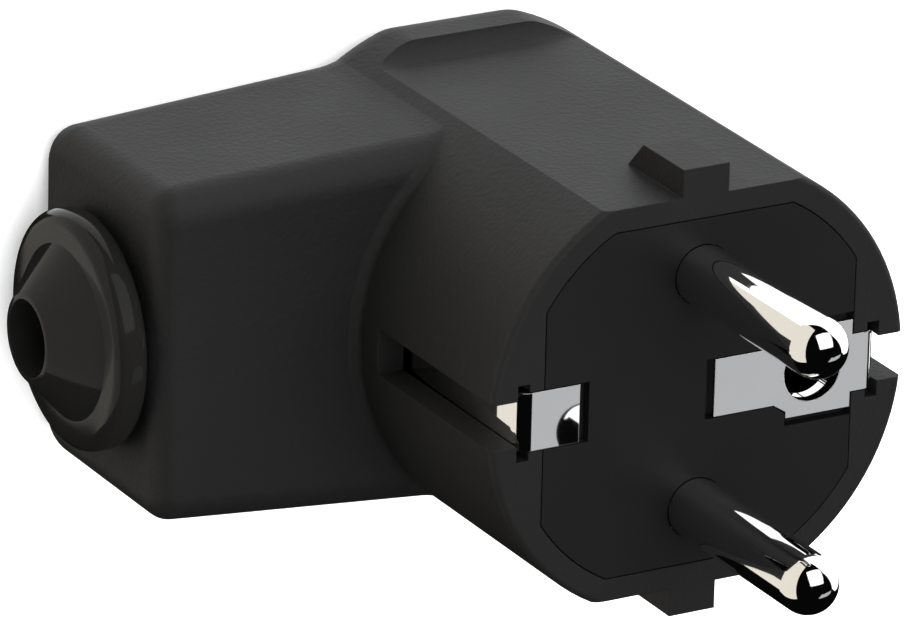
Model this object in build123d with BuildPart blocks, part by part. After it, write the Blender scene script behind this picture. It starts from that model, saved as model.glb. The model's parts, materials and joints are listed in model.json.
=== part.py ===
from build123d import *
import os

os.makedirs("parts", exist_ok=True)

# Angled earthed mains plug, rewirable, with a side arm for the cord.
# Millimetres. The origin is the middle of the engagement face, between the two pins.
# +Z is the way the pins point, the pins stand at +Y and -Y, and the arm goes towards -X.
# Depths and lengths along Z are measured from the engagement face towards the rear.

# Contact pins
pin_radius = 2.4
pin_length = 19.0
pin_spacing = 19.0
collar_radius = 3.15
collar_length = 2.0
relief_start = 0.15  # depth of the relief groove just under the face
relief_width = 0.8
relief_radius = 2.1
spigot_radius = 1.75
spigot_length = 4.6

# Earth strips, one folded strip on each side
strip = 0.85
bend_radius = 0.75  # at the middle of the sheet
tab_half_width = 2.35
tab_end = 10.45  # axis to the inner end of the short front tab
shoulder_half_width = 3.0
shoulder_start = 1.5
shoulder_tail = 2.25  # end of a shoulder to the strip's tail
tail_half_width = 2.2
tail_end = 4.6
tail_gap = 0.75  # rear of the carrier's skirt to the tails

# Long front plate with the hole for a socket's earth pin
plate_end = 1.35
plate_lead = 2.25  # start of the wide part to the hole's axis
plate_wide_half = 3.58
plate_corner = 1.1
plate_corner_rise = 0.7
recess_end_gap = 0.8
recess_side_gap = 0.65
earth_hole_place = 10.0
earth_hole_radius = 2.5
sleeve_wall = 0.4
sleeve_length = 14.0
sleeve_slot = 0.8
sleeve_slot_length = 9.0
ring_wall = 0.6
ring_length = 1.4
ring_depth = 11.6
ring_mouth = 1.2
ring_notch = 4.2

# Pin carrier
carrier_depth = 18.0
carrier_base = 8.0
skirt_wall = 1.3
pillar_radius = 3.1
pillar_gap = 0.57
clamp_bed_width = 4.4
clamp_bed_floor = 3.0
clamp_bed_gap = 1.4
post_radius = 2.0

# Plate that holds the pins in the carrier
retainer_thickness = 2.0
retainer_gap = 0.2
retainer_rounding = 1.0
retainer_thread = 1.1
retainer_screw_length = 6.0
retainer_head_radius = 1.7
retainer_head = 1.3

# Head of the housing
slot_web = 1.3  # plastic between a strip's slot and the carrier
groove_depth = 2.4
groove_half_width = 1.85
groove_length = 17.7
head_wall = 2.05
flat_wall = 1.8
rim_rise = 1.4  # guide flat to the flat top of the grip rim behind it
rim_length = 6.1
rim_corner_rounding = 4.0
scoop_length = 1.8
head_depth = 42.6
face_rounding = 0.5
rear_rounding = 3.6
rear_wall = 3.2
shelf_width = 1.3
boss_height = 3.4
boss_radius = 3.9

# Guide ribs on the two flats
rib_width = 4.0
rib_rise = 2.3
rib_length = 6.1
rib_ramp = 2.2

# Cord and gland
cord_radius = 3.1
gland_flange_radius = 9.3
gland_rim = 0.9
gland_flange = 2.55
gland_shoulder_radius = 7.45
gland_cone_start = 3.3
gland_step = 0.3
gland_cone_radius = 6.5
gland_lip = 0.4
gland_reach = 6.35
gland_neck_radius = 5.6
gland_barb_radius = 6.6
gland_barb = 2.4
gland_barb_lead = 0.8
gland_rear_room = 1.0
gland_front_room = 0.3

# Side arm that carries the cord entry
arm_reach = 34.7  # axis to the end face
arm_half_height = 13.5
arm_wall = 2.8
arm_side_draft = 0.063  # growth for each millimetre towards the head
arm_front_draft = 0.061
arm_root = 6.0  # axis to the inner end of the space in the arm
arm_edge_rounding = 2.6
arm_end_rounding = 2.2
flare_length = 2.7  # curve that leads each side of the arm into the head
flare_inset = 0.2  # guide flat to the flare's hidden end
junction_rounding = 0.8

# Earth bridge that joins the two tails
bridge_half_length = 8.8
bridge_half_width = 3.0
rivet_place = 6.9
rivet_radius = 1.0
rivet_head_radius = 1.7
rivet_head = 0.7

# Screw terminals
block_inset = 0.15  # side of a block inside the edge of its pin's collar
block_length = 7.0
block_rounding = 0.4
wire_hole_radius = 1.4
wire_hole_back = 2.6  # rear of a block to the middle of its wire hole
stake_radius = 1.4
terminal_thread = 1.7
terminal_screw_length = 2.4
terminal_head_radius = 2.6
terminal_head = 1.8

# Fixings
thread_radius = 1.45
screw_head_radius = 2.75
screw_head = 2.2
slot_width = 0.7
slot_depth = 0.8
insert_radius = 2.1
insert_length = 6.0
housing_screw_length = 13.0
counterbore_depth = 3.4
clamp_screw_length = 9.0

# Cord clamp
saddle_thickness = 2.0
saddle_length = 7.0
saddle_inset = 0.2
saddle_rounding = 1.0

# Clearances
head_gap = 0.3  # screw heads in their counterbores
slide_gap = 0.1  # carrier in housing, strips in their slots
close_gap = 0.05  # pins, screws, rivets and sleeve in their holes
seat_gap = 0.02  # between faces that rest on each other

# Radii and places across the plug, worked out from the contacts outwards
sleeve_radius = earth_hole_radius + sleeve_wall
ring_radius = sleeve_radius + close_gap + ring_wall
carrier_half_width = earth_hole_place + ring_radius - close_gap
plate_wide_start = earth_hole_place - plate_lead
plate_wide_end = carrier_half_width - close_gap
strip_inner = carrier_half_width + slide_gap + slot_web
strip_middle = strip_inner + strip / 2
strip_place = strip_inner + strip
slot_outer = strip_place + slide_gap
slot_inner = strip_inner - slide_gap
head_radius = strip_place + groove_depth
carrier_radius = head_radius - head_wall - slide_gap
carrier_half_height = pin_spacing / 2 + collar_radius + close_gap + skirt_wall
flat_height = carrier_half_height + slide_gap + flat_wall
rim_height = flat_height + rim_rise
rib_height = flat_height + rib_rise
block_side = 2 * (collar_radius - block_inset)
pillar_place = (carrier_radius - shelf_width - pillar_gap - pillar_radius) / 2**0.5
retainer_half_width = pillar_place - pillar_radius - retainer_gap
retainer_half_height = carrier_half_height - skirt_wall - retainer_gap
retainer_screw_place = (post_radius + pin_spacing / 2 - block_side / 2) / 2
saddle_half_width = pillar_place + pillar_radius - saddle_inset
gland_lip_radius = cord_radius + gland_lip
pin_places = [(0, pin_spacing / 2), (0, -pin_spacing / 2)]
fixing_places = [(pillar_place, pillar_place), (pillar_place, -pillar_place)]
clamp_places = [(-pillar_place, pillar_place), (-pillar_place, -pillar_place)]
retainer_places = [(0, retainer_screw_place), (0, -retainer_screw_place)]
rivet_places = [(rivet_place, 0), (-rivet_place, 0)]

# Depths, worked out from the rear and from the carrier
cord_depth = head_depth - rear_wall - gland_rear_room - gland_barb_radius
arm_front_depth = cord_depth - gland_barb_radius - gland_front_room - arm_wall
flat_length = head_depth - rim_length - scoop_length
strip_depth = carrier_depth + tail_gap
shoulder_end = strip_depth - shoulder_tail
clamp_bed_front = cord_depth - cord_radius - slide_gap - clamp_bed_floor
clamp_bed_rear = cord_depth - clamp_bed_gap

# Places along Z
cavity_floor = rear_wall - head_depth
shelf = -carrier_depth - seat_gap
base_rear = -carrier_base
plate_floor = -strip - seat_gap
retainer_front = base_rear - seat_gap
retainer_rear = retainer_front - retainer_thickness
block_front = retainer_rear - seat_gap
tail_rear = -strip_depth - strip
bridge_front = tail_rear - seat_gap
bridge_rear = bridge_front - strip
earth_block_front = bridge_rear - seat_gap
boss_top = cavity_floor + boss_height - seat_gap
pillar_rear = boss_top + seat_gap
clamp_seat = -cord_depth
saddle_rear = clamp_seat - seat_gap - saddle_thickness

# Arm ends
arm_run = arm_reach - arm_root
root_depth = arm_front_depth - arm_front_draft * arm_run
root_half_height = arm_half_height + arm_side_draft * arm_run
flare_end = (head_radius**2 - flat_height**2) ** 0.5 + close_gap
flare_start = flare_end + flare_length
flare_half_height = arm_half_height + arm_side_draft * (arm_reach - flare_start)
gland_plane = Plane(origin=(-arm_reach, 0, -cord_depth), x_dir=(-1, 0, 0), z_dir=(0, -1, 0))
cord_axis = Axis((-arm_reach, 0, -cord_depth), (-1, 0, 0))


# Arm of the housing: drafted sides that flare out at the head, and a drafted front
with BuildPart() as arm:
    with BuildSketch(Plane.XY.offset(-head_depth)):
        with BuildLine():
            side_line = Line((-arm_reach, arm_half_height), (-flare_start, flare_half_height))
            flare = TangentArc(
                side_line @ 1, (-flare_end, flat_height - flare_inset), tangent=side_line % 1
            )
            Polyline(flare @ 1, (-flare_end, 0), (-arm_reach, 0), side_line @ 0)
        make_face()
        mirror(about=Plane.XZ)
    extrude(amount=head_depth)
    with BuildSketch(Plane.XZ):
        Polygon(
            (-arm_reach - 1, 1),
            (-arm_root + 1, 1),
            (-arm_root + 1, -root_depth + arm_front_draft),
            (-arm_reach - 1, -arm_front_depth - arm_front_draft),
            align=None,
        )
    extrude(amount=head_radius, both=True, mode=Mode.SUBTRACT)
    front_edges = arm.faces().filter_by(Axis.X, reverse=True).sort_by(Axis.Z)[-1].edges()
    fillet(front_edges.filter_by(lambda e: abs(e.center().Y) > 1), arm_edge_rounding)


# Housing: one moulded shell, head and arm together
with BuildPart() as housing:
    with BuildSketch(Plane.XY.offset(-head_depth)):
        Circle(head_radius)
        Rectangle(2 * head_radius, 2 * rim_height, mode=Mode.INTERSECT)
        fillet(vertices(), rim_corner_rounding)
    extrude(amount=head_depth)

    # Guide flats, each ending in a scoop before the grip rim
    with BuildSketch(Plane.YZ):
        with BuildLine():
            flat_line = Line((flat_height, 1), (flat_height, -flat_length))
            scoop = TangentArc(
                flat_line @ 1, (rim_height, -flat_length - scoop_length), tangent=(0, -1)
            )
            Polyline(
                scoop @ 1,
                (head_radius + 1, -flat_length - scoop_length),
                (head_radius + 1, 1),
                flat_line @ 0,
            )
        make_face()
        mirror(about=Plane.YZ)
    extrude(amount=head_radius, both=True, mode=Mode.SUBTRACT)
    face_arcs = housing.faces().sort_by(Axis.Z)[-1].edges().filter_by(GeomType.CIRCLE)
    fillet(face_arcs, face_rounding)

    # Guide ribs
    with BuildSketch(Plane.YZ):
        with BuildLine():
            Polyline(
                (flat_height - 1, 0),
                (rib_height, 0),
                (rib_height, -rib_length),
                (flat_height, -rib_length - rib_ramp),
                (flat_height - 1, -rib_length - rib_ramp),
                close=True,
            )
        make_face()
        mirror(about=Plane.YZ)
    extrude(amount=rib_width / 2, both=True)

    # Arm, blended into the head, and the rounding round the rear
    add(arm.part)
    fillet(housing.edges(Select.NEW), junction_rounding)
    rear_outline = housing.faces().sort_by(Axis.Z)[0].edges()
    fillet(rear_outline.filter_by(lambda e: e.center().X > -arm_reach + 0.1), rear_rounding)
    fillet(housing.faces().sort_by(Axis.X)[0].edges(), arm_end_rounding)

    # Pocket for the pin carrier, down to its shelf, and the space behind it
    with BuildSketch():
        Circle(carrier_radius + slide_gap)
        Rectangle(
            2 * (carrier_half_width + slide_gap),
            2 * (carrier_half_height + slide_gap),
            mode=Mode.INTERSECT,
        )
    extrude(amount=shelf, mode=Mode.SUBTRACT)
    with BuildSketch(Plane.XY.offset(shelf)):
        Circle(carrier_radius - shelf_width)
        Rectangle(
            2 * (carrier_half_width - shelf_width),
            2 * (carrier_half_height - shelf_width),
            mode=Mode.INTERSECT,
        )
    extrude(amount=cavity_floor - shelf, mode=Mode.SUBTRACT)

    # Space inside the arm, following its draft
    with BuildSketch(Plane.YZ.offset(-arm_reach + arm_wall)):
        with Locations((0, (cavity_floor - arm_front_depth - arm_wall) / 2)):
            Rectangle(
                2 * (arm_half_height - arm_wall), -cavity_floor - arm_front_depth - arm_wall
            )
    with BuildSketch(Plane.YZ.offset(-arm_root)):
        with Locations((0, (cavity_floor - root_depth - arm_wall) / 2)):
            Rectangle(2 * (root_half_height - arm_wall), -cavity_floor - root_depth - arm_wall)
    loft(ruled=True, mode=Mode.SUBTRACT)

    # Slots for the earth strips, open to the outside by the contact grooves
    slot_neck_end = carrier_half_width - skirt_wall
    for side in (1, -1):
        with BuildSketch():
            with Locations((side * (slot_outer + slot_inner) / 2, 0)):
                Rectangle(slot_outer - slot_inner, 2 * (shoulder_half_width + slide_gap))
            with Locations((side * (strip_middle + slot_neck_end) / 2, 0)):
                Rectangle(strip_middle - slot_neck_end, 2 * (tab_half_width + slide_gap))
        extrude(amount=tail_rear - slide_gap, mode=Mode.SUBTRACT)
        with BuildSketch():
            with Locations((side * (strip_middle + head_radius) / 2, 0)):
                Rectangle(head_radius - strip_middle + 1, 2 * groove_half_width)
        extrude(amount=-groove_length, mode=Mode.SUBTRACT)

    # Bosses and counterbores for the fixing screws, driven from the rear
    with BuildSketch(Plane.XY.offset(cavity_floor)):
        with Locations(*fixing_places):
            Circle(boss_radius)
    extrude(amount=boss_top - cavity_floor)
    with Locations(Plane.XY.offset(-head_depth).rotated((180, 0, 0))):
        with Locations(*fixing_places):
            CounterBoreHole(
                thread_radius + slide_gap,
                screw_head_radius + head_gap,
                counterbore_depth,
                depth=head_depth + pillar_rear,
            )

    # Bore for the gland in the arm's end wall
    with BuildSketch(Plane.YZ.offset(-arm_reach)):
        with Locations((0, -cord_depth)):
            Circle(gland_neck_radius + close_gap)
    extrude(amount=arm_wall, mode=Mode.SUBTRACT)

housing.part.label = "housing"
export_step(housing.part, "parts/housing.step")


# Pin carrier: the moulded insert that holds pins, earth strips and cord clamp
with BuildPart() as pin_carrier:
    with BuildSketch():
        Circle(carrier_radius)
        Rectangle(2 * carrier_half_width, 2 * carrier_half_height, mode=Mode.INTERSECT)
    extrude(amount=-carrier_depth)
    with BuildSketch(Plane.XY.offset(base_rear)):
        Circle(carrier_radius - skirt_wall)
        Rectangle(
            2 * (carrier_half_width - skirt_wall),
            2 * (carrier_half_height - skirt_wall),
            mode=Mode.INTERSECT,
        )
    extrude(amount=carrier_base - carrier_depth, mode=Mode.SUBTRACT)

    # Pillars for the housing screws and the clamp screws, and the centre post
    with BuildSketch(Plane.XY.offset(base_rear)):
        with Locations(*fixing_places):
            Circle(pillar_radius)
    extrude(amount=pillar_rear - base_rear)
    with BuildSketch(Plane.XY.offset(base_rear)):
        with Locations(*clamp_places):
            Circle(pillar_radius)
    extrude(amount=clamp_seat - base_rear)
    with BuildSketch(Plane.XY.offset(base_rear)):
        Circle(post_radius)
    extrude(amount=bridge_front + seat_gap - base_rear)

    # Bed that the cord is clamped against
    with BuildSketch(Plane.YZ.offset(-pillar_place)):
        with Locations((0, -(clamp_bed_front + clamp_bed_rear) / 2)):
            Rectangle(2 * pillar_place, clamp_bed_rear - clamp_bed_front)
        with Locations((0, -cord_depth)):
            Circle(cord_radius + slide_gap, mode=Mode.SUBTRACT)
    extrude(amount=clamp_bed_width / 2, both=True)

    # Seats for the pins, from the rear
    with Locations(Plane.XY.offset(base_rear).rotated((180, 0, 0))):
        with Locations(*pin_places):
            CounterBoreHole(
                pin_radius + close_gap, collar_radius + close_gap, collar_length, depth=carrier_base
            )
        with Locations(*retainer_places):
            Hole(retainer_thread + close_gap, depth=retainer_screw_length)

    # Recesses in the face for the two earth plates
    with BuildSketch(Plane.XY.offset(plate_floor)):
        with BuildLine():
            Polyline(
                (plate_end - recess_end_gap, 0),
                (plate_end - recess_end_gap, tab_half_width + slide_gap),
                (plate_wide_start - plate_corner, tab_half_width + slide_gap),
                (plate_wide_start - slide_gap, tab_half_width + plate_corner_rise + slide_gap),
                (plate_wide_start - slide_gap, plate_wide_half + recess_side_gap),
                (carrier_half_width + 1, plate_wide_half + recess_side_gap),
                (carrier_half_width + 1, 0),
            )
            mirror(about=Plane.XZ)
        make_face()
        with BuildLine():
            Polyline(
                (recess_end_gap - tab_end, 0),
                (recess_end_gap - tab_end, tab_half_width + slide_gap),
                (-carrier_half_width - 1, tab_half_width + slide_gap),
                (-carrier_half_width - 1, 0),
            )
            mirror(about=Plane.XZ)
        make_face()
    extrude(amount=-plate_floor, mode=Mode.SUBTRACT)

    # Bore for the earth sleeve, and the notch that leaves room for its ring
    with Locations((earth_hole_place, 0, 0)):
        Hole(sleeve_radius + close_gap, depth=carrier_depth)
    with BuildSketch(Plane.XY.offset(base_rear)):
        with Locations((carrier_half_width, 0)):
            Rectangle(2 * skirt_wall + 1, 2 * ring_notch)
    extrude(amount=carrier_base - carrier_depth, mode=Mode.SUBTRACT)

    # Holes for the threaded inserts, with room for the screws beyond them
    with Locations(Plane.XY.offset(pillar_rear).rotated((180, 0, 0))):
        with Locations(*fixing_places):
            CounterBoreHole(
                thread_radius + slide_gap,
                insert_radius + close_gap,
                insert_length + seat_gap,
                depth=housing_screw_length,
            )
    with Locations(Plane.XY.offset(clamp_seat).rotated((180, 0, 0))):
        with Locations(*clamp_places):
            CounterBoreHole(
                thread_radius + slide_gap,
                insert_radius + close_gap,
                insert_length + seat_gap,
                depth=clamp_screw_length,
            )

pin_carrier.part.label = "pin_carrier"
export_step(pin_carrier.part, "parts/pin_carrier.step")


# Contact pins: turned, with a round tip, a relief groove, a collar and a spigot behind it
for name, (x, y) in zip(("line_pin", "neutral_pin"), pin_places):
    with BuildPart() as pin:
        with BuildSketch(Plane.XZ.offset(-y)):
            with BuildLine():
                Polyline(
                    (0, pin_length),
                    (0, base_rear - spigot_length),
                    (spigot_radius, base_rear - spigot_length),
                    (spigot_radius, base_rear),
                    (collar_radius, base_rear),
                    (collar_radius, base_rear + collar_length),
                    (pin_radius, base_rear + collar_length),
                    (pin_radius, -relief_start - relief_width),
                    (relief_radius, -relief_start - relief_width),
                    (relief_radius, -relief_start),
                    (pin_radius, -relief_start),
                    (pin_radius, pin_length - pin_radius),
                )
                RadiusArc((pin_radius, pin_length - pin_radius), (0, pin_length), -pin_radius)
            make_face()
        revolve(axis=Axis((x, y, 0), (0, 0, 1)))
    pin.part.label = name
    export_step(pin.part, f"parts/{name}.step")


# Terminal blocks of the two pins, each bored for its pin's spigot
for name, place in zip(("line_terminal", "neutral_terminal"), pin_places):
    with BuildPart() as terminal:
        with BuildSketch(Plane.XY.offset(block_front)):
            with Locations(place):
                Rectangle(block_side, block_side)
        extrude(amount=-block_length)
        fillet(terminal.edges().filter_by(Axis.Z), block_rounding)
        spigot_bore = base_rear - spigot_length - block_front
        with BuildSketch(Plane.XY.offset(block_front)):
            with Locations(place):
                Circle(spigot_radius + close_gap)
        extrude(amount=spigot_bore - seat_gap, mode=Mode.SUBTRACT)
        with BuildSketch(Plane.XY.offset(block_front - block_length)):
            with Locations(place):
                Circle(terminal_thread + close_gap)
        extrude(amount=wire_hole_back, mode=Mode.SUBTRACT)
        with BuildSketch(Plane.YZ):
            with Locations((place[1], block_front - block_length + wire_hole_back)):
                Circle(wire_hole_radius)
        extrude(amount=block_side, both=True, mode=Mode.SUBTRACT)
    terminal.part.label = name
    export_step(terminal.part, f"parts/{name}.step")


# Earth terminal, staked through the bridge
with BuildPart() as earth_terminal:
    with BuildSketch(Plane.XY.offset(earth_block_front)):
        Rectangle(block_side, block_side)
    extrude(amount=-block_length)
    fillet(earth_terminal.edges().filter_by(Axis.Z), block_rounding)
    with BuildSketch(Plane.XY.offset(earth_block_front)):
        Circle(stake_radius)
    extrude(amount=strip + seat_gap)
    with BuildSketch(Plane.XY.offset(earth_block_front - block_length)):
        Circle(terminal_thread + close_gap)
    extrude(amount=wire_hole_back, mode=Mode.SUBTRACT)
    with BuildSketch(Plane.YZ):
        with Locations((0, earth_block_front - block_length + wire_hole_back)):
            Circle(wire_hole_radius)
    extrude(amount=block_side, both=True, mode=Mode.SUBTRACT)

earth_terminal.part.label = "earth_terminal"
export_step(earth_terminal.part, "parts/earth_terminal.step")


# Terminal screws, one in each of the three blocks
with BuildPart() as terminal_screws:
    for place, front in ((pin_places[0], block_front), (pin_places[1], block_front),
                         ((0, 0), earth_block_front)):
        seat = front - block_length - seat_gap
        with BuildSketch(Plane.XY.offset(seat)):
            with Locations(place):
                Circle(terminal_thread)
        extrude(amount=terminal_screw_length)
        with BuildSketch(Plane.XY.offset(seat)):
            with Locations(place):
                Circle(terminal_head_radius)
        extrude(amount=-terminal_head)
        with BuildSketch(Plane.XY.offset(seat - terminal_head)):
            with Locations(place):
                Rectangle(2 * terminal_head_radius, slot_width)
        extrude(amount=slot_depth, mode=Mode.SUBTRACT)

terminal_screws.part.label = "terminal_screws"
export_step(terminal_screws.part, "parts/terminal_screws.step")


# Pin retainer, screwed to the rear of the carrier's base over the pins' collars
with BuildPart() as pin_retainer:
    with BuildSketch(Plane.XY.offset(retainer_front)):
        Rectangle(2 * retainer_half_width, 2 * retainer_half_height)
    extrude(amount=-retainer_thickness)
    fillet(pin_retainer.edges().filter_by(Axis.Z), retainer_rounding)
    with Locations((0, 0, retainer_front)):
        Hole(post_radius + slide_gap, depth=retainer_thickness)
        with Locations(*pin_places):
            Hole(spigot_radius + slide_gap, depth=retainer_thickness)
        with Locations(*retainer_places):
            Hole(retainer_thread + slide_gap, depth=retainer_thickness)

pin_retainer.part.label = "pin_retainer"
export_step(pin_retainer.part, "parts/pin_retainer.step")


with BuildPart() as retainer_screws:
    with BuildSketch(Plane.XY.offset(retainer_rear - seat_gap)):
        with Locations(*retainer_places):
            Circle(retainer_thread)
    extrude(amount=retainer_screw_length)
    with BuildSketch(Plane.XY.offset(retainer_rear - seat_gap)):
        with Locations(*retainer_places):
            Circle(retainer_head_radius)
    extrude(amount=-retainer_head)
    with BuildSketch(Plane.XY.offset(retainer_rear - seat_gap - retainer_head)):
        with Locations(*retainer_places):
            Rectangle(slot_width, 2 * retainer_head_radius)
    extrude(amount=slot_depth, mode=Mode.SUBTRACT)

retainer_screws.part.label = "retainer_screws"
export_step(retainer_screws.part, "parts/retainer_screws.step")


# Earth strips: a front plate on the face, a side strip in its slot and a tail folded inwards
strip_ends = {"earth_strip": (-1, tab_end), "earth_strip_with_socket": (1, plate_end)}
for name, (side, front_end) in strip_ends.items():
    with BuildPart() as earth_strip:
        with BuildSketch(Plane.XZ):
            with BuildLine():
                FilletPolyline(
                    (side * front_end, -strip / 2),
                    (side * strip_middle, -strip / 2),
                    (side * strip_middle, -shoulder_start),
                    radius=bend_radius,
                )
            trace(line_width=strip)
        extrude(amount=tab_half_width, both=True)
        with BuildSketch(Plane.XZ):
            with Locations((side * strip_middle, -(shoulder_start + shoulder_end) / 2)):
                Rectangle(strip, shoulder_end - shoulder_start)
        extrude(amount=shoulder_half_width, both=True)
        with BuildSketch(Plane.XZ):
            with BuildLine():
                FilletPolyline(
                    (side * strip_middle, -shoulder_end),
                    (side * strip_middle, -strip_depth - strip / 2),
                    (side * tail_end, -strip_depth - strip / 2),
                    radius=bend_radius,
                )
            trace(line_width=strip)
        extrude(amount=tail_half_width, both=True)
        with Locations((side * rivet_place, 0, -strip_depth)):
            Hole(rivet_radius + close_gap, depth=strip)
        if side > 0:
            with BuildSketch():
                with BuildLine():
                    Polyline(
                        (plate_wide_start - plate_corner, 0),
                        (plate_wide_start - plate_corner, tab_half_width),
                        (plate_wide_start, tab_half_width + plate_corner_rise),
                        (plate_wide_start, plate_wide_half),
                        (plate_wide_end, plate_wide_half),
                        (plate_wide_end, 0),
                    )
                    mirror(about=Plane.XZ)
                make_face()
            extrude(amount=-strip)
            with Locations((earth_hole_place, 0, 0)):
                Hole(earth_hole_radius, depth=strip)
    earth_strip.part.label = name
    export_step(earth_strip.part, f"parts/{name}.step")


# Slotted sleeve that grips a socket's earth pin, and the spring ring round it
with BuildPart() as earth_sleeve:
    with BuildSketch(Plane.XY.offset(plate_floor)):
        with Locations((earth_hole_place, 0)):
            Circle(sleeve_radius)
            Circle(earth_hole_radius, mode=Mode.SUBTRACT)
    extrude(amount=-sleeve_length)
    with BuildSketch(Plane.XY.offset(plate_floor - sleeve_length)):
        with Locations((earth_hole_place, 0)):
            Rectangle(sleeve_slot, 2 * sleeve_radius + 1)
    extrude(amount=sleeve_slot_length, mode=Mode.SUBTRACT)

earth_sleeve.part.label = "earth_sleeve"
export_step(earth_sleeve.part, "parts/earth_sleeve.step")


with BuildPart() as sleeve_ring:
    with BuildSketch(Plane.XY.offset(-ring_depth)):
        with Locations((earth_hole_place, 0)):
            Circle(ring_radius)
            Circle(sleeve_radius + close_gap, mode=Mode.SUBTRACT)
        with Locations((earth_hole_place - ring_radius, 0)):
            Rectangle(2 * ring_radius, ring_mouth, mode=Mode.SUBTRACT)
    extrude(amount=-ring_length)

sleeve_ring.part.label = "sleeve_ring"
export_step(sleeve_ring.part, "parts/sleeve_ring.step")


# Earth bridge and the two rivets that join it to the tails
with BuildPart() as earth_bridge:
    with BuildSketch(Plane.XY.offset(bridge_front)):
        SlotOverall(2 * bridge_half_length, 2 * bridge_half_width)
    extrude(amount=-strip)
    with Locations((0, 0, bridge_front)):
        Hole(stake_radius + close_gap, depth=strip)
        with Locations(*rivet_places):
            Hole(rivet_radius + close_gap, depth=strip)

earth_bridge.part.label = "earth_bridge"
export_step(earth_bridge.part, "parts/earth_bridge.step")


with BuildPart() as earth_rivets:
    with BuildSketch(Plane.XY.offset(bridge_rear - seat_gap)):
        with Locations(*rivet_places):
            Circle(rivet_radius)
    extrude(amount=(seat_gap - strip_depth) - (bridge_rear - seat_gap))
    for level, thickness in (
        (bridge_rear - seat_gap, -rivet_head),
        (seat_gap - strip_depth, rivet_head),
    ):
        with BuildSketch(Plane.XY.offset(level)):
            with Locations(*rivet_places):
                Circle(rivet_head_radius)
        extrude(amount=thickness, taper=20)

earth_rivets.part.label = "earth_rivets"
export_step(earth_rivets.part, "parts/earth_rivets.step")


# Threaded brass inserts and the screws that turn into them
with BuildPart() as housing_inserts:
    with BuildSketch(Plane.XY.offset(pillar_rear)):
        with Locations(*fixing_places):
            Circle(insert_radius)
            Circle(thread_radius + close_gap, mode=Mode.SUBTRACT)
    extrude(amount=insert_length)

housing_inserts.part.label = "housing_inserts"
export_step(housing_inserts.part, "parts/housing_inserts.step")


with BuildPart() as clamp_inserts:
    with BuildSketch(Plane.XY.offset(clamp_seat)):
        with Locations(*clamp_places):
            Circle(insert_radius)
            Circle(thread_radius + close_gap, mode=Mode.SUBTRACT)
    extrude(amount=insert_length)

clamp_inserts.part.label = "clamp_inserts"
export_step(clamp_inserts.part, "parts/clamp_inserts.step")


screw_sets = {
    "housing_screws": (
        fixing_places,
        counterbore_depth - head_depth - seat_gap,
        housing_screw_length,
    ),
    "clamp_screws": (clamp_places, saddle_rear - seat_gap, clamp_screw_length),
}
for name, (places, seat, length) in screw_sets.items():
    with BuildPart() as screws:
        with BuildSketch(Plane.XY.offset(seat)):
            with Locations(*places):
                Circle(thread_radius)
        extrude(amount=length)
        with BuildSketch(Plane.XY.offset(seat)):
            with Locations(*places):
                Circle(screw_head_radius)
        extrude(amount=-screw_head)
        with BuildSketch(Plane.XY.offset(seat - screw_head)):
            with Locations(*places):
                Rectangle(2 * screw_head_radius, slot_width)
        extrude(amount=slot_depth, mode=Mode.SUBTRACT)
    screws.part.label = name
    export_step(screws.part, f"parts/{name}.step")


# Clamp saddle that presses the cord against the carrier's bed
with BuildPart() as clamp_saddle:
    with BuildSketch(Plane.YZ.offset(-pillar_place)):
        with Locations((0, (clamp_seat - seat_gap + saddle_rear) / 2)):
            Rectangle(2 * saddle_half_width, saddle_thickness)
        with Locations((0, clamp_seat)):
            Circle(cord_radius + slide_gap + saddle_thickness)
            Circle(cord_radius + slide_gap, mode=Mode.SUBTRACT)
        with Locations((0, clamp_seat - seat_gap)):
            Rectangle(
                4 * saddle_half_width,
                4 * saddle_half_width,
                align=(Align.CENTER, Align.MIN),
                mode=Mode.SUBTRACT,
            )
    extrude(amount=saddle_length / 2, both=True)
    fillet(
        clamp_saddle.edges().filter_by(Axis.Z).filter_by(lambda e: abs(e.center().Y) > pillar_place),
        saddle_rounding,
    )
    with Locations((0, 0, clamp_seat)):
        with Locations(*clamp_places):
            Hole(thread_radius + slide_gap, depth=saddle_thickness + 1)

clamp_saddle.part.label = "clamp_saddle"
export_step(clamp_saddle.part, "parts/clamp_saddle.step")


# Gland: a soft bushing with an outer flange and cone, snapped into the arm's end wall
with BuildPart() as gland:
    with BuildSketch(gland_plane):
        with BuildLine():
            Polyline(
                (-arm_wall - gland_barb, cord_radius),
                (gland_reach, cord_radius),
                (gland_reach, gland_lip_radius),
                (gland_cone_start, gland_cone_radius),
                (gland_cone_start - gland_step, gland_cone_radius),
                (gland_flange, gland_shoulder_radius),
            )
            TangentArc(
                (gland_rim, gland_flange_radius),
                (gland_flange, gland_shoulder_radius),
                tangent=(1, 0),
            )
            Polyline(
                (gland_rim, gland_flange_radius),
                (seat_gap, gland_flange_radius),
                (seat_gap, gland_neck_radius),
                (-arm_wall - seat_gap, gland_neck_radius),
                (-arm_wall - seat_gap, gland_barb_radius),
                (-arm_wall - gland_barb, gland_neck_radius - gland_barb_lead),
                (-arm_wall - gland_barb, cord_radius),
            )
        make_face()
    revolve(axis=cord_axis)

gland.part.label = "gland"
export_step(gland.part, "parts/gland.step")
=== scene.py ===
import json
import math

import bpy
from mathutils import Matrix, Vector

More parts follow.
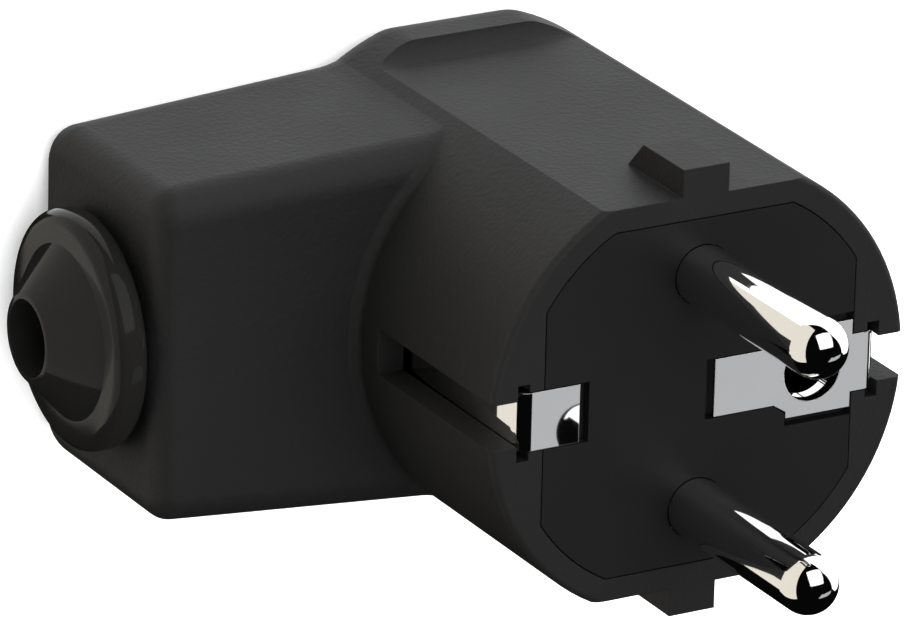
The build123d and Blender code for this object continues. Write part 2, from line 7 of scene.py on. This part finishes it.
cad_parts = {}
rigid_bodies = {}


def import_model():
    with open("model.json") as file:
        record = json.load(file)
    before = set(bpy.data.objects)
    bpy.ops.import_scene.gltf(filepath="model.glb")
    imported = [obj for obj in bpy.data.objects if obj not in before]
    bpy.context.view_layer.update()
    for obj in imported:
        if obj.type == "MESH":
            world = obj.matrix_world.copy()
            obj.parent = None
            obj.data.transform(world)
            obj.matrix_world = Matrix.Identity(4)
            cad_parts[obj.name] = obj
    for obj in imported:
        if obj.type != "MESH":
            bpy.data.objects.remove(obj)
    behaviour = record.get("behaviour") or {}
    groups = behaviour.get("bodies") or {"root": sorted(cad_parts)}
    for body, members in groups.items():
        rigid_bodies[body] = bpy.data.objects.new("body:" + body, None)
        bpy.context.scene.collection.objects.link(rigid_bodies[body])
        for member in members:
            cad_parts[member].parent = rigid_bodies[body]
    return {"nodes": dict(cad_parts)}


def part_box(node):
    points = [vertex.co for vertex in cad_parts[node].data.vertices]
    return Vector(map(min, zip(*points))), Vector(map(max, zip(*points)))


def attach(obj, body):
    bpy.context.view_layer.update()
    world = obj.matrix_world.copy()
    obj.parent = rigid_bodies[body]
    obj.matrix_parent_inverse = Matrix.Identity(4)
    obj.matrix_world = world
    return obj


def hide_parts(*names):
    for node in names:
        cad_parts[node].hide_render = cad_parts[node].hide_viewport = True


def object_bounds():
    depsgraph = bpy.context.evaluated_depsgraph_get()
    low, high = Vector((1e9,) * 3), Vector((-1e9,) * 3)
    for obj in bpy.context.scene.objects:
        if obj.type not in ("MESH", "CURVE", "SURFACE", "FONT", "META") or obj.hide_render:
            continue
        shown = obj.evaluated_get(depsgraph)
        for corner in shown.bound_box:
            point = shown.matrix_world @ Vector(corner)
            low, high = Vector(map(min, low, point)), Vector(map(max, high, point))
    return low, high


for thing in list(bpy.data.objects):
    bpy.data.objects.remove(thing)

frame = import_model()
cad_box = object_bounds()
nodes = frame["nodes"]

# Housing: one moulded shell of black plastic, head and side arm together. The mould is eroded to a fine
# leather-like grain on the flats, the arm and the round head, and edges are worn a little smoother.


class Wire:
    """An output socket of a finish, with the arithmetic that its nodes can do."""

    def __init__(self, finish, socket):
        self.finish = finish
        self.socket = socket

    def math(self, operation, *values):
        return self.finish.node("ShaderNodeMath", {"operation": operation}, dict(enumerate(values)))

    def __add__(self, other):
        return self.math("ADD", self, other)

    def __radd__(self, other):
        return self.math("ADD", other, self)

    def __sub__(self, other):
        return self.math("SUBTRACT", self, other)

    def __rsub__(self, other):
        return self.math("SUBTRACT", other, self)

    def __mul__(self, other):
        return self.math("MULTIPLY", self, other)

    def __rmul__(self, other):
        return self.math("MULTIPLY", other, self)


class Finish:
    """A material with its shader, built up from nodes."""

    def __init__(self, name, **shader_values):
        self.material = bpy.data.materials.new(name)
        self.material.use_nodes = True
        self.tree = self.material.node_tree
        self.shader = self.tree.nodes["Principled BSDF"]
        self.place = self.node("ShaderNodeTexCoord", out="Object")
        self.feed(**shader_values)

    def node(self, kind, settings=None, inputs=None, out=0):
        made = self.tree.nodes.new(kind)
        for key, value in (settings or {}).items():
            setattr(made, key, value)
        for key, value in (inputs or {}).items():
            self.join(made.inputs[key], value)
        return Wire(self, made.outputs[out])

    def join(self, socket, value):
        if isinstance(value, Wire):
            self.tree.links.new(value.socket, socket)
        elif hasattr(socket.default_value, "__len__") and len(socket.default_value) == 4:
            socket.default_value = (*value, 1)
        else:
            socket.default_value = value

    def feed(self, **shader_values):
        for key, value in shader_values.items():
            self.join(self.shader.inputs[key.replace("_", " ")], value)

    def noise(self, size_mm, detail=2.0, place=None):
        return self.node(
            "ShaderNodeTexNoise",
            None,
            {"Vector": place or self.place, "Scale": 1000 / size_mm, "Detail": detail},
        )

    def along(self, axis):
        return self.node("ShaderNodeSeparateXYZ", None, {"Vector": self.place}, out=axis)

    def blend(self, mask, low, high):
        return self.node(
            "ShaderNodeMix",
            {"data_type": "RGBA"},
            {"Factor": mask, 6: low, 7: high},
            out=2,
        )

    def bump(self, height, depth_mm, strength=1.0, edge_mm=0.0):
        inputs = {"Height": height, "Distance": depth_mm / 1000, "Strength": strength}
        if edge_mm:
            edge = {"Radius": edge_mm / 1000}
            inputs["Normal"] = self.node("ShaderNodeBevel", {"samples": 6}, edge)
        self.feed(Normal=self.node("ShaderNodeBump", None, inputs))


def dress(node, finish):
    for held in nodes[node].material_slots:
        held.material = finish.material


grain_size = 0.42
grain_depth = 0.045
cell_share = 0.75
pore_share = 0.25
pore_size = 0.18
cloud_size = 9.0
housing_edge = 0.12
housing_black = (0.0058, 0.0058, 0.0058)
housing_worn = (0.0074, 0.0073, 0.0072)

moulded = Finish("moulded_grain_black", Specular_IOR_Level=0.28)
cells = moulded.node(
    "ShaderNodeTexVoronoi",
    {"feature": "SMOOTH_F1"},
    {"Vector": moulded.place, "Scale": 1000 / grain_size, "Smoothness": 0.6, "Randomness": 1.0},
)
pores = moulded.noise(pore_size, detail=3.0)
clouds = moulded.noise(cloud_size, detail=3.0)
moulded.feed(
    Base_Color=moulded.blend(clouds, housing_black, housing_worn),
    Roughness=0.52 + 0.12 * clouds + 0.05 * pores,
)
grain = cells * cell_share + pores * pore_share
moulded.bump(grain, grain_depth, strength=0.8, edge_mm=housing_edge)
dress("housing", moulded)

# Pin carrier: the insert in the head's front, moulded from a harder black plastic and polished on its face.
# It slides in from the front against the housing's shelf. Pin retainer and clamp saddle are moulded alike.

carrier_black = (0.0043, 0.0043, 0.0044)
carrier_pale = (0.0054, 0.0053, 0.0053)
flow_size = 6.0
satin_size = 0.35
satin_depth = 0.006
carrier_edge = 0.08

satin = Finish("carrier_satin_black", Specular_IOR_Level=0.2)
flow = satin.noise(flow_size, detail=3.0)
satin.feed(
    Base_Color=satin.blend(flow, carrier_black, carrier_pale),
    Roughness=0.42 + 0.08 * flow,
)
satin.bump(satin.noise(satin_size), satin_depth, strength=0.5, edge_mm=carrier_edge)
for inner in ("pin_carrier", "pin_retainer", "clamp_saddle"):
    dress(inner, satin)

# Contact pins: turned from solid brass, polished and plated with bright nickel, so that they mirror the
# studio. The round tips show faint turning marks, and the plating is a trace warmer than chrome.

nickel = (0.93, 0.925, 0.915)
nickel_deep = (0.88, 0.875, 0.865)
rub_size = 2.5
turning_size = 0.12
turning_depth = 0.0008
turning_stretch = (0.02, 0.02, 1)

plated_pin = Finish("polished_nickel_pins", Metallic=1.0)
rubs = plated_pin.noise(rub_size, detail=4.0)
plated_pin.feed(
    Base_Color=plated_pin.blend(rubs, nickel_deep, nickel),
    Roughness=0.035 + 0.03 * rubs,
)
turning = plated_pin.node(
    "ShaderNodeMapping",
    {"vector_type": "POINT"},
    {"Vector": plated_pin.place, "Scale": turning_stretch},
)
turning_marks = plated_pin.noise(turning_size, detail=1.0, place=turning)
plated_pin.bump(turning_marks, turning_depth, strength=0.3)
for pin in ("line_pin", "neutral_pin"):
    dress(pin, plated_pin)

# Earth strips: brass strip, punched, folded and plated with bright nickel. Their front plates lie flush in
# the carrier's face, and their flanks, bowed a little by the fold, show in the housing's grooves. The bridge
# that joins their tails is cut from the same strip.

metre = 1000
haze_size = 4.0
ripple_size = 1.8
ripple_height = 0.0000003
strip_edge = 0.06
flank_lean = -0.2
flank_bow = -12.5

plated_strip = Finish("bright_nickel_strip", Metallic=1.0)
haze = plated_strip.noise(haze_size, detail=3.0)
plated_strip.feed(
    Base_Color=plated_strip.blend(haze, nickel_deep, nickel),
    Roughness=0.02 + 0.02 * haze,
)
depth = plated_strip.along("Z")
bowed = flank_lean * depth + flank_bow * depth * depth
ripples = ripple_height * plated_strip.noise(ripple_size, detail=1.0)
plated_strip.bump(bowed + ripples, metre, edge_mm=strip_edge)
for strip in ("earth_strip", "earth_strip_with_socket", "earth_bridge"):
    dress(strip, plated_strip)

# Earth sleeve: the same strip rolled up and slotted, sprung behind the hole in the long plate. Its mouth is
# flared, so that a socket's earth pin finds its way in, and the flare mirrors the studio like the plates do.

sleeve_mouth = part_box("earth_sleeve")[1].z
flare_start = 0.08
flare_end = 0.93
flare_slope = 1.2

flared_nickel = Finish("flared_nickel_sleeve", Metallic=1.0, Base_Color=nickel, Roughness=0.04)
flare_top = sleeve_mouth - flare_start / 1000
flare_foot = sleeve_mouth - flare_end / 1000
flare = flared_nickel.along("Z")
flare = flare.math("MINIMUM", flare.math("MAXIMUM", flare, flare_foot), flare_top)
flared_nickel.bump(-flare_slope * flare, metre)
dress("earth_sleeve", flared_nickel)

# Brass parts: the three terminal blocks and the threaded inserts.
# They are bare turned or milled brass with a dull, slightly tarnished skin.

brass_bright = (0.78, 0.60, 0.30)
brass_dull = (0.52, 0.37, 0.17)
tarnish_size = 1.5
cutter_mark_size = 0.15
cutter_mark_depth = 0.003

bare_brass = Finish("bare_brass", Metallic=1.0)
tarnish = bare_brass.noise(tarnish_size, detail=4.0)
bare_brass.feed(
    Base_Color=bare_brass.blend(tarnish, brass_bright, brass_dull),
    Roughness=0.22 + 0.2 * tarnish,
)
bare_brass.bump(bare_brass.noise(cutter_mark_size), cutter_mark_depth, strength=0.4)
for brass in (
    "line_terminal",
    "neutral_terminal",
    "earth_terminal",
    "housing_inserts",
    "clamp_inserts",
):
    dress(brass, bare_brass)

# Screws, rivets and the sleeve's spring ring: steel with a thin bluish zinc coat, which is left as it came
# off the line, finely spangled and not polished.

zinc_light = (0.66, 0.67, 0.69)
zinc_dark = (0.46, 0.46, 0.47)
spangle_size = 0.9
zinc_grain_size = 0.2
zinc_grain_depth = 0.004

zinc_steel = Finish("zinc_coated_steel", Metallic=1.0)
spangle = zinc_steel.noise(spangle_size, detail=3.0)
zinc_steel.feed(
    Base_Color=zinc_steel.blend(spangle, zinc_dark, zinc_light),
    Roughness=0.25 + 0.18 * spangle,
)
zinc_steel.bump(zinc_steel.noise(zinc_grain_size), zinc_grain_depth, strength=0.4)
for steel in (
    "sleeve_ring",
    "earth_rivets",
    "terminal_screws",
    "retainer_screws",
    "housing_screws",
    "clamp_screws",
):
    dress(steel, zinc_steel)

# Gland: a soft bushing of glossy black rubber, pressed into the arm's end wall from outside, where a barb
# holds it. The thick disc has a flat ring and a round edge, and the cone that guides the cord has the skin of
# a polished mould. Its outline is given as distances out from the wall, with the radius at each.

gland_low, gland_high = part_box("gland")
gland_axis = (gland_low + gland_high) / 2
gland_reach = 6.35
lip_reach = 6.29
disc_front = 3.22
disc_rear = 0.02
wall_inside = -2.82
barb_end = -5.2
bore_radius = 3.1
lip_radius = 3.42
cone_tip_radius = 3.55
cone_foot_radius = 6.95
disc_radius = 9.5
neck_radius = 5.6
barb_radius = 6.6
barb_end_radius = 4.8
edge_depth = 1.2
edge_height = 1.1
edge_steps = 10
gland_sides = 128
smooth_limit = math.radians(32)
rear_edge = [(1.3, disc_radius), (0.95, 9.4), (0.7, 9.15), (disc_rear, 7.6)]

rounded_edge = []
for step in range(edge_steps + 1):
    turn = math.radians(90 * step / edge_steps)
    rounded_edge.append(
        (
            disc_front - edge_depth * (1 - math.cos(turn)),
            disc_radius - edge_height * (1 - math.sin(turn)),
        )
    )

gland_outline = [
    (gland_reach, bore_radius),
    (gland_reach, lip_radius),
    (lip_reach, cone_tip_radius),
    (disc_front, cone_foot_radius),
    *rounded_edge,
    *rear_edge,
    (disc_rear, neck_radius),
    (wall_inside, neck_radius),
    (wall_inside, barb_radius),
    (barb_end, barb_end_radius),
    (barb_end, bore_radius),
]

bpy.ops.object.select_all(action="DESELECT")
bpy.ops.mesh.primitive_circle_add(
    vertices=gland_sides,
    radius=bore_radius / 1000,
    location=(gland_low.x, gland_axis.y, gland_axis.z),
    rotation=(0, math.pi / 2, 0),
)
bpy.ops.object.transform_apply(location=True, rotation=True, scale=True)
rubber_gland = bpy.context.object
rubber_gland.name = "rubber_gland"
bpy.ops.object.mode_set(mode="EDIT")
bpy.ops.mesh.select_all(action="SELECT")
for here, there in zip(gland_outline, gland_outline[1:] + gland_outline[:1]):
    inwards = (here[0] - there[0]) / 1000
    growth = there[1] / here[1]
    bpy.ops.mesh.extrude_edges_move(TRANSFORM_OT_translate={"value": (inwards, 0, 0)})
    bpy.ops.transform.resize(value=(1, growth, growth), center_override=gland_axis)
bpy.ops.mesh.select_all(action="SELECT")
bpy.ops.mesh.remove_doubles(threshold=0.000001)
bpy.ops.mesh.normals_make_consistent(inside=False)
bpy.ops.object.mode_set(mode="OBJECT")
bpy.ops.object.shade_smooth_by_angle(angle=smooth_limit)

gland_black = (0.0058, 0.0056, 0.0054)
gland_bloom = (0.0082, 0.0079, 0.0075)
bloom_size = 5.0
skin_size = 1.2
skin_height = 0.0000005
cone_clearance = 0.01
cone_start = gland_low.x + (gland_reach - disc_front - cone_clearance) / 1000
cone_bow = 0.22

glossy_rubber = Finish("gland_glossy_rubber", Specular_IOR_Level=0.13)
bloom = glossy_rubber.noise(bloom_size, detail=3.0)
glossy_rubber.feed(
    Base_Color=glossy_rubber.blend(bloom, gland_black, gland_bloom),
    Roughness=0.05 + 0.05 * bloom,
)
past_cone_start = glossy_rubber.along("X") - cone_start
past_cone_start = past_cone_start.math("MINIMUM", past_cone_start, 0)
skin = skin_height * glossy_rubber.noise(skin_size)
glossy_rubber.bump(cone_bow * past_cone_start + skin, metre)
rubber_gland.data.materials.append(glossy_rubber.material)
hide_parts("gland")
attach(rubber_gland, "root")

# Floor: the plug stands with its rear face on a plain pale sheet that fills the view. The sheet is lit a
# little from behind, and the bright parts mirror the studio instead of it.

floor_height = cad_box[0].z
floor_width = 6
sheet_white = (0.92, 0.92, 0.92)
sheet_glow = 0.22

bpy.ops.object.select_all(action="DESELECT")
bpy.ops.mesh.primitive_plane_add(size=floor_width, location=(0, 0, floor_height))
floor = bpy.context.object
floor.name = "floor"
pale_sheet = Finish("pale_floor", Base_Color=sheet_white, Roughness=0.9, Specular_IOR_Level=0.1)
pale_sheet.feed(Emission_Color=(1.0, 1.0, 1.0), Emission_Strength=sheet_glow)
floor.data.materials.append(pale_sheet.material)
floor.visible_glossy = False

# Backdrop: a pale dome round the stage, so that views from the side stay plain. Only the camera sees it: it
# casts no light or shadow, and nothing mirrors it.

backdrop_radius = 1.6
backdrop_grey = (0.8, 0.8, 0.8)

bpy.ops.object.select_all(action="DESELECT")
bpy.ops.mesh.primitive_uv_sphere_add(segments=96, ring_count=48, radius=backdrop_radius)
backdrop = bpy.context.object
backdrop.name = "backdrop"
for ray in ("diffuse", "glossy", "transmission", "shadow"):
    setattr(backdrop, "visible_" + ray, False)
pale_dome = Finish("pale_backdrop", Base_Color=(0, 0, 0))
pale_dome.feed(Emission_Color=backdrop_grey, Emission_Strength=1.0)
backdrop.data.materials.append(pale_dome.material)

# Camera: a long lens above the plug's face, at the angle and distance that the photograph was fitted with.
# It leans towards the arm and one of the guide flats, and is rolled by a degree and a half.

view_distance = 0.70418
view_target = Vector((-0.021451, 0.010058, 0))
view_azimuth = math.radians(29.526)
view_elevation = math.radians(21.231)
view_roll = math.radians(1.431)
view_lens = 374.37

back = Vector(
    (
        -math.sin(view_azimuth) * math.cos(view_elevation),
        math.sin(view_elevation),
        math.cos(view_azimuth) * math.cos(view_elevation),
    )
)
level = (-back).cross(Vector((0, 1, 0))).normalized()
upright = back.cross(level)
right = level * math.cos(view_roll) + upright * math.sin(view_roll)
up = upright * math.cos(view_roll) - level * math.sin(view_roll)
eye = view_target + back * view_distance

camera = bpy.data.objects.new("camera", bpy.data.cameras.new("camera"))
bpy.context.scene.collection.objects.link(camera)
camera.matrix_world = Matrix(
    (
        (right.x, up.x, back.x, eye.x),
        (right.y, up.y, back.y, eye.y),
        (right.z, up.z, back.z, eye.z),
        (0, 0, 0, 1),
    )
)
camera.data.sensor_width = 36
camera.data.lens = view_lens
camera.data.clip_start = 0.05
camera.data.clip_end = 20
bpy.context.scene.camera = camera

# Light: a dark studio with a white wall on one side and a cream one on the other, a square window above and
# a grey strip below, which the bright parts mirror. Two soft boxes light the floor and the plastic.


class Studio(Finish):
    """The world, painted with evenly lit panels that are each given by the directions of their corners."""

    def __init__(self, name):
        self.world = bpy.data.worlds.new(name)
        self.world.use_nodes = True
        self.tree = self.world.node_tree
        self.shader = self.tree.nodes["Background"]
        self.place = self.node("ShaderNodeTexCoord", out="Generated")

    def panel(self, corners, radiance):
        turns = [Vector(corner).normalized() for corner in corners]
        middle = sum(turns, Vector())
        inside = 1
        for here, there in zip(turns, turns[1:] + turns[:1]):
            side = here.cross(there).normalized()
            if side.dot(middle) < 0:
                side = -side
            within = self.node(
                "ShaderNodeVectorMath",
                {"operation": "DOT_PRODUCT"},
                {0: self.place, 1: side},
                out="Value",
            )
            inside = inside * within.math("GREATER_THAN", within, 0)
        return self.blend(inside, (0, 0, 0), radiance)

    def added(self, first, second):
        return self.node(
            "ShaderNodeMix",
            {"data_type": "RGBA", "blend_type": "ADD"},
            {"Factor": 1, 6: first, 7: second},
            out=2,
        )


white_wall = [
    (1, -0.27, 0.41),
    (0.82, 0.29, 0.49),
    (0.6, 0.65, 0.46),
    (0.39, 0.9, 0.18),
    (-0.27, 1.5, -1),
    (-0.27, 0.16, -1),
    (1, -0.35, -1),
    (1, -0.4, 0.1),
]
cream_wall = [
    (-1, -0.84, 0.36),
    (-0.18, 0.98, 0.04),
    (-0.27, 1.5, -1),
    (-0.27, -0.24, -1),
    (-1, -0.9, -1.7),
]
window = [(-0.33, 0.88, 0.35), (0.49, 0.81, 0.33), (0.5, 0.22, 0.84), (-0.33, 0.2, 0.92)]
strip_light = [(0.2, -0.57, 0.8), (0.4, -0.31, 0.86), (0.86, -0.3, 0.42), (0.8, -0.42, 0.45)]
white_radiance = (1.48, 1.50, 1.53)
cream_radiance = (0.86, 0.81, 0.72)
window_radiance = (1.4, 1.4, 1.4)
strip_radiance = (0.485, 0.493, 0.507)
dark_radiance = (0.002, 0.002, 0.002)

studio = Studio("dark_studio")
surroundings = dark_radiance
for corners, radiance in (
    (white_wall, white_radiance),
    (cream_wall, cream_radiance),
    (window, window_radiance),
    (strip_light, strip_radiance),
):
    surroundings = studio.added(surroundings, studio.panel(corners, radiance))
studio.feed(Color=surroundings)
studio.world.cycles.sampling_method = "NONE"
bpy.context.scene.world = studio.world


def softbox(name, place, aim, width, height, watts, colour):
    light = bpy.data.lights.new(name, "AREA")
    light.shape = "RECTANGLE"
    light.size = width
    light.size_y = height
    light.energy = watts
    light.color = colour
    box = bpy.data.objects.new(name, light)
    bpy.context.scene.collection.objects.link(box)
    box.location = place
    box.rotation_euler = (Vector(aim) - Vector(place)).to_track_quat("-Z", "Y").to_euler()
    box.visible_glossy = False


softbox(
    "overhead_box",
    place=(0, 0, 1.3),
    aim=(0, 0, 0),
    width=2.0,
    height=2.0,
    watts=56,
    colour=(1.0, 1.0, 1.0),
)
softbox(
    "flat_box",
    place=(-0.1, 0.7, 0.25),
    aim=(0, 0, -0.02),
    width=0.6,
    height=0.3,
    watts=3.0,
    colour=(0.97, 0.98, 1.0),
)

bpy.context.scene.view_settings.view_transform = "Standard"
